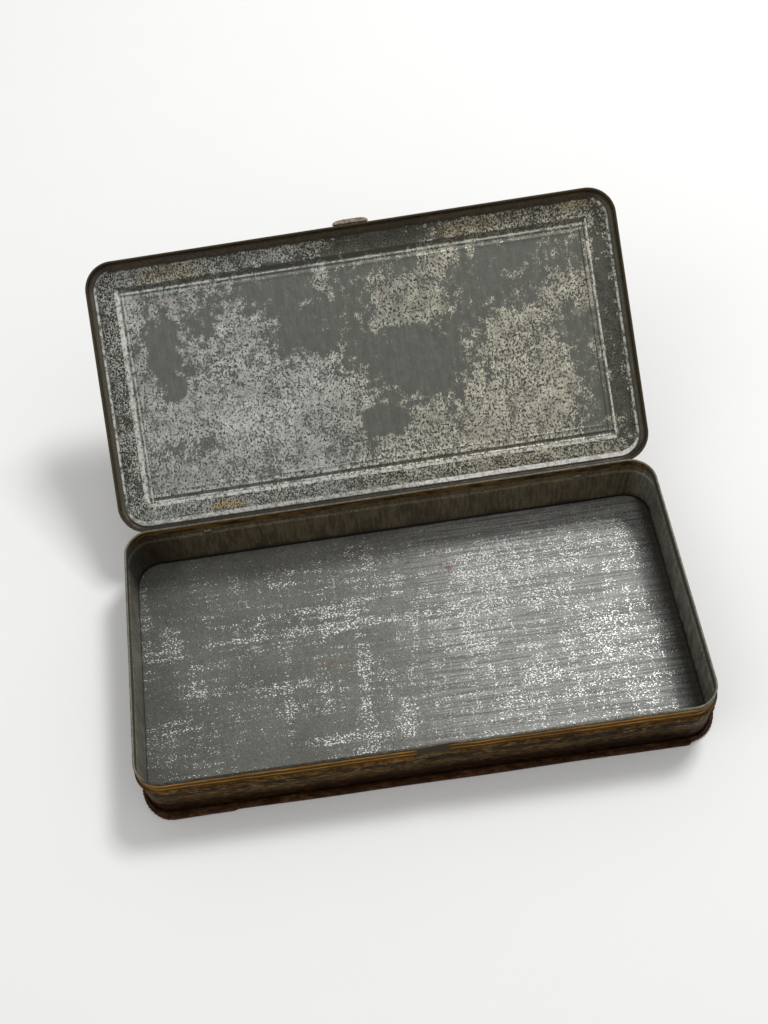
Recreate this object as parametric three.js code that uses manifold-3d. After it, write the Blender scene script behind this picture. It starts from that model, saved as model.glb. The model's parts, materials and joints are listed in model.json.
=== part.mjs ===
// A hinged tinplate pencil case, 8 by 4 inches: a folded base with a shallow hinged lid.
//
// Frame: millimetres, +Z up, +X to the right along the case, +Y towards the hinge.
// The origin is the middle of the underside of the bottom plate, on the plane the case rests on.
// The lid is modelled closed and then swung back to its stop.

import * as THREE from "three";
import { mergeVertices } from "three/addons/utils/BufferGeometryUtils.js";
import Module from "manifold-3d";

const wasm = await Module();
wasm.setup();

// ---- Driving dimensions, mm -------------------------------------------------------------------

const RIM_WIDTH = 200;
const RIM_DEPTH = 101.5;
const RIM_CORNER_RADIUS = 9.5;
const RIM_HEIGHT = 26;
const SHEET = 0.4; // thickness of the tinplate
const GAP = 0.3; // air left between two separate pieces that touch on the real case
const LID_OPEN_ANGLE = THREE.MathUtils.degToRad(146.5);
const EDGE = 0.24; // rounding of a folded edge, drawn as a chamfer
const CORNER_STEPS = 8; // flats in each quarter-round corner
const BEAD_STEPS = 5; // flats across the bead
const BEND_STEPS = 4; // flats across the lid's rounded edge
const TUBE_SIDES = 16; // sides of the hinge wire and of its bore
const CUT_MARGIN = 2; // how far a cutting block reaches past the sheet it cuts
const MARKS_X = 2; // the tab, the thumb gap and the hinges are stamped this far right of centre

// Rim hem, and the bead that stops the lid.
const HEM_DEPTH = 3.5;
const BEAD_TOP = RIM_HEIGHT - 6;
const BEAD_HEIGHT = 2.8;
const BEAD_PROUD = 0.85;
const THUMB_GAP_WIDTH = 12;

// Flat folded seam that joins the bottom plate to the wall.
const SEAM_PROUD = 2.7;
const SEAM_HEIGHT = 3 * SHEET + 2 * GAP;
const SEAM_FOLD_WIDTH = 2.1;

// Lock seam that closes the wall strip, at the middle of the back.
const LOCK_SEAM_WIDTH = 5;
const LOCK_SEAM_PROUD = 0.5;

// Lid.
const LID_PROUD = 1.25; // how far the skirt's outer face stands off the rim's outer face
const SKIRT_BOTTOM = BEAD_TOP + 0.5;
const LID_HEM_DEPTH = 3;
const LID_BEND_RADIUS = 2;
const LID_UNDERSIDE = RIM_HEIGHT + GAP;
const PANEL_RISE = 0.8;
const PANEL_HALF_X = 90.3;
const PANEL_HALF_Y = 41.25;
const PANEL_SLOPE = 2.7;
const PANEL_CORNER_RADIUS = 1;

// Hinge: a wire in the lid's rear curl, held by two lugs clinched through the back wall.
const WIRE_RADIUS = 0.5;
const WIRE_CLEARANCE = 0.15;
const WIRE_HALF_LENGTH = 87;
const CURL_HALF_LENGTH = 88;
const LUG_SPREAD = 70.5; // each lug's distance from the middle of the pair
const LUG_WIDTH = 8;
const LUG_SIDE_CLEARANCE = 0.5;
const LUG_NOTCH_TOP = 1.5; // the lid's notch reaches this far above the hinge axis
const HEEL_BACK = 0.82; // the heel behind and below the hinge axis, where the open lid stops
const HEEL_DROP = 1.21;
const LUG_TAIL_WIDTH = 3;
const LUG_TAIL_LENGTH = 1.8;
const LUG_WRAP_DEGREES = [20, 165]; // the arc of the strap that goes over the wire
const LUG_WRAP_STEPS = 10;
const CURL_DEGREES = [180, 480]; // the arc of the lid's rear curl, from the skirt round the wire
const CURL_STEPS = 18;

// Thumb tab on the lid's front skirt.
const TAB_WIDTH = 13.6;
const TAB_TIP_WIDTH = 10.6;
const TAB_REACH = 1.8;
const TAB_LEAF_WIDTH = 11;
const TAB_LEAF_HEIGHT = 3.4;
const TAB_CORNER = 0.7;
const TAB_CORNER_STEPS = 6;

// ---- Places that follow from them -------------------------------------------------------------

const BACK_Y = RIM_DEPTH / 2; // outer face of the back wall
const FRONT_Y = -RIM_DEPTH / 2; // outer face of the front wall
const BORE_RADIUS = WIRE_RADIUS + WIRE_CLEARANCE;
const CURL_RADIUS = BORE_RADIUS + SHEET;
const HINGE_Y = BACK_Y + LID_PROUD - 2 * SHEET + CURL_RADIUS;
const HINGE_Z = SKIRT_BOTTOM + CURL_RADIUS;
const LUG_CENTRES_X = [MARKS_X - LUG_SPREAD, MARKS_X + LUG_SPREAD];
const WRAP_RADIUS = BORE_RADIUS + SHEET / 2; // middle of the sheet that goes round the wire

// ---- Materials --------------------------------------------------------------------------------

function metal(color, roughness, metalness) {
  return new THREE.MeshStandardMaterial({ color, roughness, metalness });
}

const wallTin = metal(0x4a3a26, 0.55, 0.6);
const floorTin = metal(0x8a8a84, 0.4, 0.9);
const lidTin = metal(0x74746c, 0.45, 0.9);
const hingeSteel = metal(0x5a5650, 0.5, 0.9);
const tabTin = metal(0x9a8f80, 0.4, 0.9);

// ---- Solids -----------------------------------------------------------------------------------

// A manifold solid from a closed three.js geometry.
function solid(geometry) {
  const bare = geometry.clone();
  bare.deleteAttribute("normal");
  bare.deleteAttribute("uv");
  const merged = mergeVertices(bare, 1e-4);
  return new wasm.Manifold(
    new wasm.Mesh({
      numProp: 3,
      vertProperties: merged.attributes.position.array,
      triVerts: new Uint32Array(merged.index.array),
    }),
  );
}

// A named three.js mesh from a manifold solid.
function namedMesh(name, body, material) {
  const { vertProperties, triVerts } = body.getMesh();
  const geometry = new THREE.BufferGeometry();
  geometry.setAttribute("position", new THREE.BufferAttribute(vertProperties, 3));
  geometry.setIndex(new THREE.BufferAttribute(triVerts, 1));
  geometry.computeVertexNormals();
  const mesh = new THREE.Mesh(geometry, material);
  mesh.name = name;
  return mesh;
}

// A box between two corners, each given as [x, y, z].
function block(low, high) {
  const size = high.map((value, axis) => value - low[axis]);
  const middle = high.map((value, axis) => (value + low[axis]) / 2);
  return solid(new THREE.BoxGeometry(...size).translate(...middle));
}

// The points of a rounded rectangle at one height, anticlockwise seen from above.
function roundedLoop({ halfX, halfY, radius, z }) {
  const quarters = [[1, 1], [-1, 1], [-1, -1], [1, -1]];
  return quarters.flatMap(([sideX, sideY], quarter) =>
    Array.from({ length: CORNER_STEPS + 1 }, (_, step) => {
      const angle = ((quarter + step / CORNER_STEPS) * Math.PI) / 2;
      return new THREE.Vector3(
        sideX * (halfX - radius) + radius * Math.cos(angle),
        sideY * (halfY - radius) + radius * Math.sin(angle),
        z,
      );
    }),
  );
}

// The rim's outline moved out by `out` (in, when negative), at height z.
function rimLoop([out, z]) {
  return roundedLoop({
    halfX: RIM_WIDTH / 2 + out,
    halfY: RIM_DEPTH / 2 + out,
    radius: RIM_CORNER_RADIUS + out,
    z,
  });
}

// Skins a list of loops, from the top and middle outwards, then down, in, and back to the start.
// An open list is closed by a flat cap on its first and last loop, and a ring by its first loop.
function skin(loops, isRing) {
  const count = loops[0].length;
  const points = loops.flat();
  const triangles = [];
  const bands = isRing ? loops.length : loops.length - 1;
  for (let band = 0; band < bands; band++) {
    const near = band * count;
    const far = ((band + 1) % loops.length) * count;
    for (let here = 0; here < count; here++) {
      const next = (here + 1) % count;
      triangles.push(near + here, far + here, far + next);
      triangles.push(near + here, far + next, near + next);
    }
  }
  if (!isRing) {
    const last = (loops.length - 1) * count;
    for (let here = 1; here < count - 1; here++) {
      triangles.push(0, here, here + 1);
      triangles.push(last, last + here + 1, last + here);
    }
  }
  const geometry = new THREE.BufferGeometry().setFromPoints(points);
  geometry.setIndex(triangles);
  return solid(geometry);
}

// Points [out, z] of an arc round a centre, between two angles in degrees.
function arcPoints(centre, radius, [fromDegrees, toDegrees], steps) {
  return Array.from({ length: steps + 1 }, (_, step) => {
    const share = step / steps;
    const angle = THREE.MathUtils.degToRad(fromDegrees + (toDegrees - fromDegrees) * share);
    return [centre[0] + radius * Math.cos(angle), centre[1] + radius * Math.sin(angle)];
  });
}

// Extrudes an outline drawn in the Y-Z plane along X, centred on centreX.
function extrudeAlongX(outline, width, centreX) {
  const geometry = new THREE.ExtrudeGeometry(outline, { depth: width, bevelEnabled: false });
  const acrossToX = new THREE.Matrix4().makeBasis(
    new THREE.Vector3(0, 1, 0),
    new THREE.Vector3(0, 0, 1),
    new THREE.Vector3(1, 0, 0),
  );
  geometry.applyMatrix4(acrossToX);
  geometry.translate(centreX - width / 2, 0, 0);
  return solid(geometry);
}

// The section of a sheet bent along a centre line, its corners mitred.
function bentSheet(centreLine) {
  const points = centreLine.map(([y, z]) => new THREE.Vector2(y, z));
  const sideOf = (from, to) => {
    const run = to.clone().sub(from).normalize();
    return new THREE.Vector2(-run.y, run.x);
  };
  const offsets = points.map((point, index) => {
    const before = index > 0 ? sideOf(points[index - 1], point) : null;
    const after = index < points.length - 1 ? sideOf(point, points[index + 1]) : null;
    if (!before || !after) return (before || after).multiplyScalar(SHEET / 2);
    const middle = before.clone().add(after).normalize();
    return middle.multiplyScalar(SHEET / 2 / middle.dot(before));
  });
  const left = points.map((point, index) => point.clone().add(offsets[index]));
  const right = points.map((point, index) => point.clone().sub(offsets[index]));
  return new THREE.Shape([...right, ...left.reverse()]);
}

// ---- Base -------------------------------------------------------------------------------------

// The bead's half-round section, standing out from `out`, from its top down.
function beadPoints(out) {
  return Array.from({ length: BEAD_STEPS + 1 }, (_, step) => {
    const angle = Math.PI / 2 - (step / BEAD_STEPS) * Math.PI;
    const z = BEAD_TOP - BEAD_HEIGHT / 2 + (BEAD_HEIGHT / 2) * Math.sin(angle);
    return [out + BEAD_PROUD * Math.cos(angle), z];
  });
}

// The wall: a hemmed rim, a bead under the neck, and a flange turned out at the foot.
function baseWall() {
  const flangeBottom = SHEET + GAP;
  const section = [
    [-SHEET, RIM_HEIGHT],
    [-EDGE, RIM_HEIGHT],
    [0, RIM_HEIGHT - EDGE],
    ...beadPoints(0),
    [0, flangeBottom + SHEET],
    [SEAM_PROUD - SHEET - GAP, flangeBottom + SHEET],
    [SEAM_PROUD - SHEET - GAP, flangeBottom],
    [-SHEET, flangeBottom],
    ...beadPoints(-SHEET).reverse(),
    [-SHEET, RIM_HEIGHT - HEM_DEPTH],
    [-2 * SHEET, RIM_HEIGHT - HEM_DEPTH],
    [-2 * SHEET, RIM_HEIGHT - EDGE],
  ];
  let wall = skin(section.map(rimLoop), true);
  wall = flattenBeadForThumb(wall);
  wall = wall.add(lockSeam());
  for (const x of LUG_CENTRES_X) wall = wall.subtract(lugSlot(x));
  return wall;
}

// The bead stops short on both sides of the lid's tab, to let a thumbnail under it.
function flattenBeadForThumb(wall) {
  const left = MARKS_X - THUMB_GAP_WIDTH / 2;
  const right = MARKS_X + THUMB_GAP_WIDTH / 2;
  const below = BEAD_TOP - BEAD_HEIGHT;
  const pressedBead = block([left, FRONT_Y - CUT_MARGIN, below], [right, FRONT_Y, BEAD_TOP]);
  const flatWall = block([left, FRONT_Y, below - SHEET], [right, FRONT_Y + SHEET, BEAD_TOP + SHEET]);
  return wall.subtract(pressedBead).add(flatWall);
}

// The folded joint of the wall strip stands proud on the outside of the back wall.
function lockSeam() {
  const side = LOCK_SEAM_WIDTH / 2;
  const low = [-side, BACK_Y - SHEET / 2, SEAM_HEIGHT + GAP];
  const high = [side, BACK_Y + LOCK_SEAM_PROUD, BEAD_TOP - BEAD_HEIGHT];
  return block(low, high);
}

// The slot in the back wall that a lug's tail is pushed through.
function lugSlot(x) {
  const side = LUG_TAIL_WIDTH / 2 + GAP;
  const halfHeight = SHEET / 2 + GAP;
  const z = HINGE_Z - WRAP_RADIUS;
  const low = [x - side, BACK_Y - CUT_MARGIN, z - halfHeight];
  const high = [x + side, BACK_Y + CUT_MARGIN, z + halfHeight];
  return block(low, high);
}

// The bottom: a flat plate whose edge is folded up and back over the wall's flange.
function bottomPlate() {
  const foldInner = SEAM_PROUD - SEAM_FOLD_WIDTH;
  const section = [
    [foldInner, SEAM_HEIGHT - SHEET],
    [foldInner, SEAM_HEIGHT],
    [SEAM_PROUD - EDGE, SEAM_HEIGHT],
    [SEAM_PROUD, SEAM_HEIGHT - EDGE],
    [SEAM_PROUD, EDGE],
    [SEAM_PROUD - EDGE, 0],
    [-SHEET, 0],
  ];
  const inside = [
    [-SHEET, SHEET],
    [SEAM_PROUD - SHEET, SHEET],
    [SEAM_PROUD - SHEET, SEAM_HEIGHT - SHEET],
  ];
  return skin([...inside, ...section].map(rimLoop), false);
}

// ---- Hinge ------------------------------------------------------------------------------------

// A lug: a strap folded round the wire, with a heel at the lower back that stops the open lid,
// and a narrow tail that goes through the wall and is clinched down inside.
function hingeLug(x) {
  const wrap = arcPoints([HINGE_Y, HINGE_Z], WRAP_RADIUS, LUG_WRAP_DEGREES, LUG_WRAP_STEPS);
  const leafZ = HINGE_Z - WRAP_RADIUS;
  const strapStart = [BACK_Y + GAP, leafZ];
  const heel = [HINGE_Y + HEEL_BACK, HINGE_Z - HEEL_DROP];
  const strap = [strapStart, [HINGE_Y, leafZ], heel, ...wrap];
  const tailY = BACK_Y - SHEET - GAP - SHEET / 2;
  const tail = [
    [tailY, leafZ - LUG_TAIL_LENGTH],
    [tailY, leafZ],
    [BACK_Y + 2 * GAP, leafZ],
  ];
  const body = extrudeAlongX(bentSheet(strap), LUG_WIDTH, x);
  return body.add(extrudeAlongX(bentSheet(tail), LUG_TAIL_WIDTH, x));
}

// The hinge wire, which lies in the lid's rear curl.
function hingeWire() {
  const wire = new THREE.CylinderGeometry(WIRE_RADIUS, WIRE_RADIUS, 2 * WIRE_HALF_LENGTH, TUBE_SIDES);
  wire.rotateZ(Math.PI / 2);
  wire.translate(0, HINGE_Y, HINGE_Z);
  return solid(wire);
}

// ---- Lid --------------------------------------------------------------------------------------

// One loop of the raised panel's slope, `inset` in from its foot.
function panelLoop(inset, z) {
  return roundedLoop({
    halfX: PANEL_HALF_X - inset,
    halfY: PANEL_HALF_Y - inset,
    radius: PANEL_CORNER_RADIUS,
    z,
  });
}

// The lid: a shallow pan with a raised panel, a rounded edge, and a skirt hemmed inwards.
function lidPan() {
  const top = LID_UNDERSIDE + SHEET;
  const bendCentre = [LID_PROUD - LID_BEND_RADIUS, top - LID_BEND_RADIUS];
  const outerBend = arcPoints(bendCentre, LID_BEND_RADIUS, [90, 0], BEND_STEPS);
  const innerBend = arcPoints(bendCentre, LID_BEND_RADIUS - SHEET, [0, 90], BEND_STEPS);
  const skirtInner = LID_PROUD - SHEET;
  const hemInner = LID_PROUD - 2 * SHEET;
  const skirt = [
    ...outerBend,
    [LID_PROUD, SKIRT_BOTTOM + EDGE],
    [LID_PROUD - EDGE, SKIRT_BOTTOM],
    [hemInner + EDGE, SKIRT_BOTTOM],
    [hemInner, SKIRT_BOTTOM + EDGE],
    [hemInner, SKIRT_BOTTOM + LID_HEM_DEPTH],
    [skirtInner, SKIRT_BOTTOM + LID_HEM_DEPTH],
    ...innerBend,
  ];
  const loops = [
    panelLoop(PANEL_SLOPE, top + PANEL_RISE),
    panelLoop(0, top),
    ...skirt.map(rimLoop),
    panelLoop(0, LID_UNDERSIDE),
    panelLoop(PANEL_SLOPE, LID_UNDERSIDE + PANEL_RISE),
  ];
  return skin(loops, false);
}

// The lid with its rear edge curled round the hinge wire and notched for the two lugs.
function lid() {
  const curlTurn = arcPoints([HINGE_Y, HINGE_Z], WRAP_RADIUS, CURL_DEGREES, CURL_STEPS);
  const boreLength = 2 * (CURL_HALF_LENGTH + CUT_MARGIN);
  const bore = new THREE.CylinderGeometry(BORE_RADIUS, BORE_RADIUS, boreLength, TUBE_SIDES);
  bore.rotateZ(Math.PI / 2);
  bore.translate(0, HINGE_Y, HINGE_Z);
  let pan = lidPan();
  pan = pan.add(extrudeAlongX(bentSheet(curlTurn), 2 * CURL_HALF_LENGTH, 0));
  pan = pan.subtract(solid(bore));
  const notchSide = LUG_WIDTH / 2 + LUG_SIDE_CLEARANCE;
  for (const x of LUG_CENTRES_X) {
    const low = [x - notchSide, BACK_Y, SKIRT_BOTTOM - CUT_MARGIN];
    const high = [x + notchSide, HINGE_Y + CUT_MARGIN, HINGE_Z + LUG_NOTCH_TOP];
    pan = pan.subtract(block(low, high));
  }
  return pan;
}

// The thumb tab: a small angle of tin soldered to the front skirt, its lip turned forwards.
function thumbTab() {
  const skirtFace = FRONT_Y - LID_PROUD;
  const leafBack = skirtFace - GAP;
  const leafHalf = TAB_LEAF_WIDTH / 2;
  const leaf = block(
    [MARKS_X - leafHalf, leafBack - SHEET, SKIRT_BOTTOM],
    [MARKS_X + leafHalf, leafBack, SKIRT_BOTTOM + TAB_LEAF_HEIGHT],
  );
  const side = TAB_WIDTH / 2;
  const tipSide = TAB_TIP_WIDTH / 2;
  const tipY = leafBack - TAB_REACH;
  const lip = new THREE.Shape();
  lip.moveTo(MARKS_X - side, leafBack);
  lip.quadraticCurveTo(MARKS_X - tipSide - TAB_CORNER, tipY, MARKS_X - tipSide + TAB_CORNER, tipY);
  lip.lineTo(MARKS_X + tipSide - TAB_CORNER, tipY);
  lip.quadraticCurveTo(MARKS_X + tipSide + TAB_CORNER, tipY, MARKS_X + side, leafBack);
  const lipGeometry = new THREE.ExtrudeGeometry(lip, {
    depth: SHEET,
    bevelEnabled: false,
    curveSegments: TAB_CORNER_STEPS,
  });
  lipGeometry.translate(0, 0, SKIRT_BOTTOM);
  return leaf.add(solid(lipGeometry));
}

// ---- Assembly ---------------------------------------------------------------------------------

const pencilCase = new THREE.Group();

const base = new THREE.Group();
base.add(namedMesh("base_wall", baseWall(), wallTin));
base.add(namedMesh("bottom_plate", bottomPlate(), floorTin));
base.add(namedMesh("hinge_lug_left", hingeLug(LUG_CENTRES_X[0]), hingeSteel));
base.add(namedMesh("hinge_lug_right", hingeLug(LUG_CENTRES_X[1]), hingeSteel));
pencilCase.add(base);

// The lid's pieces hang on a group at the hinge axis, turned back about X.
const lidPivot = new THREE.Group();
lidPivot.position.set(0, HINGE_Y, HINGE_Z);
lidPivot.rotation.x = -LID_OPEN_ANGLE;
const lidParts = [
  namedMesh("lid", lid(), lidTin),
  namedMesh("hinge_wire", hingeWire(), hingeSteel),
  namedMesh("thumb_tab", thumbTab(), tabTin),
];
for (const piece of lidParts) {
  piece.position.set(0, -HINGE_Y, -HINGE_Z);
  lidPivot.add(piece);
}
pencilCase.add(lidPivot);

export default pencilCase;
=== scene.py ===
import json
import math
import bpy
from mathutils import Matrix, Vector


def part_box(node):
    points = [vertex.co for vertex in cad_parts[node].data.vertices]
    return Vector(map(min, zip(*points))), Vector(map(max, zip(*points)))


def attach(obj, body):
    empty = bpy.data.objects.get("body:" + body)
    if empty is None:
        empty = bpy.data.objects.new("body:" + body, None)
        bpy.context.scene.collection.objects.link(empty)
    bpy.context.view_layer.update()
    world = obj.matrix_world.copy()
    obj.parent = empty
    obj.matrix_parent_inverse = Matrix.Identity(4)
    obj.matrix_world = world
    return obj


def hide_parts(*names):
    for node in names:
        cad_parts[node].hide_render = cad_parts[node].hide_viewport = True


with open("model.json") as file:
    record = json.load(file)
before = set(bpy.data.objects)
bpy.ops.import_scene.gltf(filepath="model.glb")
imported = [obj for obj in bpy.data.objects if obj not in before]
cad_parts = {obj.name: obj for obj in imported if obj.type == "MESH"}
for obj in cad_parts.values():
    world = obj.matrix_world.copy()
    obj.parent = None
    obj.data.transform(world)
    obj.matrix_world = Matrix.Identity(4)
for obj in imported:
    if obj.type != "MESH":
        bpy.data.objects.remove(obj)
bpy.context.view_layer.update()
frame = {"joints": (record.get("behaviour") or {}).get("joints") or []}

# An old hinged tin pencil case, open. Each CAD node is replaced by a fine mesh of the same sheet, built from
# the same few dimensions, with procedural tarnished tin inside and worn brown and gold lacquer outside.
# Every mesh keeps two attributes for its material: "place", its point in millimetres with the lid closed,
# and "printed", which is 1 on lacquered faces and 0 on bare tin.

from types import SimpleNamespace

import bmesh
import bpy
import numpy as np
from mathutils import Matrix, Vector

MM = 0.001

# ---- Dimensions, from the frame -----------------------------------------------------------------

SHEET = 0.4 * MM
FLANGE_PROUD = 2.0 * MM  # the wall's foot flange, outside the rim
RIM_RADIUS = 9.5 * MM
HEM_DEPTH = 3.5 * MM

wall_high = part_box("base_wall")[1]
plate_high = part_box("bottom_plate")[1]
lid_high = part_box("lid")[1]
wire_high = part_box("hinge_wire")[1]
tab_low, tab_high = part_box("thumb_tab")

RIM_X = wall_high.x - FLANGE_PROUD  # half width and half depth of the rim's outer face
RIM_Y = wall_high.y - FLANGE_PROUD
RIM_Z = wall_high.z
SEAM_PROUD = plate_high.x - RIM_X
SEAM_Z = plate_high.z
LID_PROUD = lid_high.x - RIM_X
MARKS_X = (tab_low.x + tab_high.x) / 2  # the tab, thumb gap and hinge lugs are stamped off centre
LUGS = ("hinge_lug_left", "hinge_lug_right")
LUG_CENTRES_X = [(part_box(lug)[0].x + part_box(lug)[1].x) / 2 for lug in LUGS]

hinge_joint = frame["joints"][0]
HINGE = Vector(hinge_joint["pos_m"])
OPEN_ANGLE = math.radians(hinge_joint["range_deg"][1])
OPEN_LID = Matrix.Translation(HINGE) @ Matrix.Rotation(-OPEN_ANGLE, 4, "X") @ Matrix.Translation(-HINGE)

# The bead under the rim, and the thumb gap in it.
BEAD_TOP = RIM_Z - 6 * MM
BEAD_HEIGHT = 2.8 * MM
BEAD_PROUD = 0.85 * MM
THUMB_GAP_HALF = 6 * MM

# The lid, closed.
SKIRT_BOTTOM = BEAD_TOP + 0.5 * MM
LID_TOP = RIM_Z + 0.7 * MM
LID_BEND_RADIUS = 2 * MM
LID_HEM_DEPTH = 3 * MM
PANEL_RISE = 0.8 * MM
PANEL_X = 90.3 * MM
PANEL_Y = 41.25 * MM
PANEL_SLOPE = 2.7 * MM
PANEL_RADIUS = 1.6 * MM
LUG_HALF = 4 * MM
NOTCH_HALF = LUG_HALF + 0.5 * MM
NOTCH_TOP = HINGE.z + 1.5 * MM
CURL_HALF_LENGTH = 88 * MM
WIRE_RADIUS = 0.5 * MM
WRAP_RADIUS = 0.85 * MM  # middle of the sheet that goes round the wire
TAB_REACH = 1.6 * MM  # the tab's lip, out from the skirt
TAB_LEAF = 3.4 * MM  # the tab's leaf, up the skirt


# ---- Outlines and sections ----------------------------------------------------------------------

CORNER_STEPS = 24
PATH_STEP = 1.5 * MM
EDGE_WIDTH = 0.06 * MM  # how sharply a notch or gap begins along the path


def side_places(half_length, edges):
    """Places along a straight side, evenly spaced, with a close pair at each edge of a notch or gap."""
    steps = max(2, round(2 * half_length / PATH_STEP))
    regular = np.linspace(-half_length, half_length, steps + 1)
    pairs = [edge + side * EDGE_WIDTH / 2 for edge in edges for side in (-1, 1)]
    far_from_pairs = [p for p in regular if all(abs(p - q) > 0.3 * MM for q in pairs)]
    return np.array(sorted(far_from_pairs + pairs))


NOTCH_EDGES = [x + side * NOTCH_HALF for x in LUG_CENTRES_X for side in (-1, 1)]
GAP_EDGES = [MARKS_X + side * THUMB_GAP_HALF for side in (-1, 1)]
LOCK_SEAM_EDGES = [-2.5 * MM, 2.5 * MM]
LONG_PLACES = side_places(RIM_X - RIM_RADIUS, NOTCH_EDGES + GAP_EDGES + LOCK_SEAM_EDGES)
SHORT_PLACES = side_places(RIM_Y - RIM_RADIUS, [])


def outline(half_x, half_y, radius):
    """Points and outward normals of a rounded rectangle, anticlockwise from the front left corner's end."""
    straight_x = half_x - radius
    straight_y = half_y - radius
    long_run = LONG_PLACES * straight_x / LONG_PLACES[-1]
    short_run = SHORT_PLACES * straight_y / SHORT_PLACES[-1]
    sides = [
        (long_run, lambda p: (p, -half_y), (0, -1), (straight_x, -straight_y)),
        (short_run, lambda p: (half_x, p), (1, 0), (straight_x, straight_y)),
        (long_run[::-1], lambda p: (p, half_y), (0, 1), (-straight_x, straight_y)),
        (short_run[::-1], lambda p: (-half_x, p), (-1, 0), (-straight_x, -straight_y)),
    ]
    points = []
    normals = []
    for quarter, (run, place, normal, corner) in enumerate(sides):
        for p in run:
            points.append(place(p))
            normals.append(normal)
        for step in range(1, CORNER_STEPS):
            angle = math.radians(90) * (quarter - 1 + step / CORNER_STEPS)
            direction = (math.cos(angle), math.sin(angle))
            points.append((corner[0] + radius * direction[0], corner[1] + radius * direction[1]))
            normals.append(direction)
    return np.array(points), np.array(normals, float)


RIM_POINTS, RIM_NORMALS = outline(RIM_X, RIM_Y, RIM_RADIUS)


def rim_ring(out, z):
    """The rim's outline moved out by `out`, at height z. Both may differ from point to point."""
    count = len(RIM_POINTS)
    out = np.broadcast_to(out, count)
    z = np.broadcast_to(z, count)
    return np.column_stack([RIM_POINTS + RIM_NORMALS * out[:, None], z])


def flat_rings(half_x, half_y, radius, z, step=2.0 * MM):
    """Rings that shrink from a rounded rectangle to its middle line, to fill a flat face."""
    count = math.ceil(half_y / step)
    rings = []
    for index in range(1, count + 1):
        inset = half_y * index / count
        ring_radius = max(radius - inset, 0.0) if index < count else 0.0
        points, _ = outline(half_x - inset, half_y - inset, ring_radius)
        rings.append(np.column_stack([points, np.full(len(points), z)]))
    return rings


def arc(centre, radius, start_degrees, end_degrees, steps=6):
    """Points of an arc in a section, as (out, z)."""
    angles = np.radians(np.linspace(start_degrees, end_degrees, steps + 1))
    return [(centre[0] + radius * math.cos(a), centre[1] + radius * math.sin(a)) for a in angles]


def fill_in(section, longest=0.9 * MM):
    """The section with extra points wherever two neighbours are far apart. Extra values are carried along."""
    filled = []
    for here, after in zip(section, section[1:]):
        gap = math.dist(here[:2], after[:2])
        steps = max(1, math.ceil(gap / longest))
        for step in range(steps):
            share = step / steps
            middle = [a + (b - a) * share for a, b in zip(here[:2], after[:2])]
            filled.append((*middle, *here[2:]))
    filled.append(section[-1])
    return filled


# ---- Meshes -------------------------------------------------------------------------------------


class Sheet:
    """Collects rings and strips of points into one mesh with its two attributes."""

    def __init__(self):
        self.points = []
        self.printed = []
        self.faces = []

    def add_points(self, points, printed):
        start = len(self.points)
        self.points.extend(map(tuple, points))
        self.printed.extend([printed] * len(points))
        return start

    def add_rings(self, rings, printed, closed):
        """Skins rings, closed loops of the same length. `closed` joins the last ring to the first."""
        starts = [self.add_points(ring, value) for ring, value in zip(rings, printed)]
        count = len(rings[0])
        pairs = list(zip(starts, starts[1:]))
        if closed:
            pairs.append((starts[-1], starts[0]))
        for near, far in pairs:
            for here in range(count):
                after = (here + 1) % count
                self.faces.append((near + here, far + here, far + after, near + after))

    def add_strip(self, sections, printed):
        """Skins a list of closed sections along a run, and closes both ends."""
        starts = [self.add_points(section, printed) for section in sections]
        count = len(sections[0])
        for near, far in zip(starts, starts[1:]):
            for here in range(count):
                after = (here + 1) % count
                self.faces.append((near + here, near + after, far + after, far + here))
        self.faces.append(tuple(range(starts[0] + count - 1, starts[0] - 1, -1)))
        self.faces.append(tuple(range(starts[-1], starts[-1] + count)))

    def finish(self, name, body, node, slot, material, on_lid=False, bend=None):
        """Makes the object, in the frame at rest, standing for a CAD node."""
        mesh = bpy.data.meshes.new(name)
        points = np.array(self.points, float)
        mesh.from_pydata(points.tolist(), [], self.faces)
        place = mesh.attributes.new("place", "FLOAT_VECTOR", "POINT")
        place.data.foreach_set("vector", (points / MM).ravel())
        printed = mesh.attributes.new("printed", "FLOAT", "POINT")
        printed.data.foreach_set("value", np.array(self.printed, float))
        if bend is not None:
            points = bend(points)
            mesh.vertices.foreach_set("co", points.ravel())
        if on_lid:
            mesh.transform(OPEN_LID)
        merge_doubles(mesh)
        mesh.shade_smooth()
        mesh.materials.append(material)
        piece = bpy.data.objects.new(name, mesh)
        bpy.context.scene.collection.objects.link(piece)
        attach(piece, body)
        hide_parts(node)
        return piece


def merge_doubles(mesh):
    """Joins vertices that meet on a face's middle line, and turns every face outwards."""
    work = bmesh.new()
    work.from_mesh(mesh)
    bmesh.ops.remove_doubles(work, verts=work.verts, dist=0.002 * MM)
    bmesh.ops.dissolve_degenerate(work, edges=work.edges, dist=0.001 * MM)
    bmesh.ops.recalc_face_normals(work, faces=work.faces)
    work.to_mesh(mesh)
    work.free()


def ripple(x, y, seed):
    """A smooth uneven field between about -1 and 1, for the slight waviness of old tinplate."""
    random = np.random.default_rng(seed)
    total = np.zeros_like(x)
    for wave in range(6):
        length = (110 - 14 * wave) * MM
        angle, phase = random.uniform(0, 2 * math.pi, 2)
        along = x * math.cos(angle) + y * math.sin(angle)
        total += np.sin(along * 2 * math.pi / length + phase)
    return total / 3.5


def edge_window(values, low, high, soft):
    """1 between low and high, falling to 0 over `soft` on both sides."""
    rise = np.clip((values - low) / soft + 0.5, 0, 1)
    fall = np.clip((high - values) / soft + 0.5, 0, 1)
    return np.minimum(rise, fall)


# ---- Base ---------------------------------------------------------------------------------------

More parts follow.
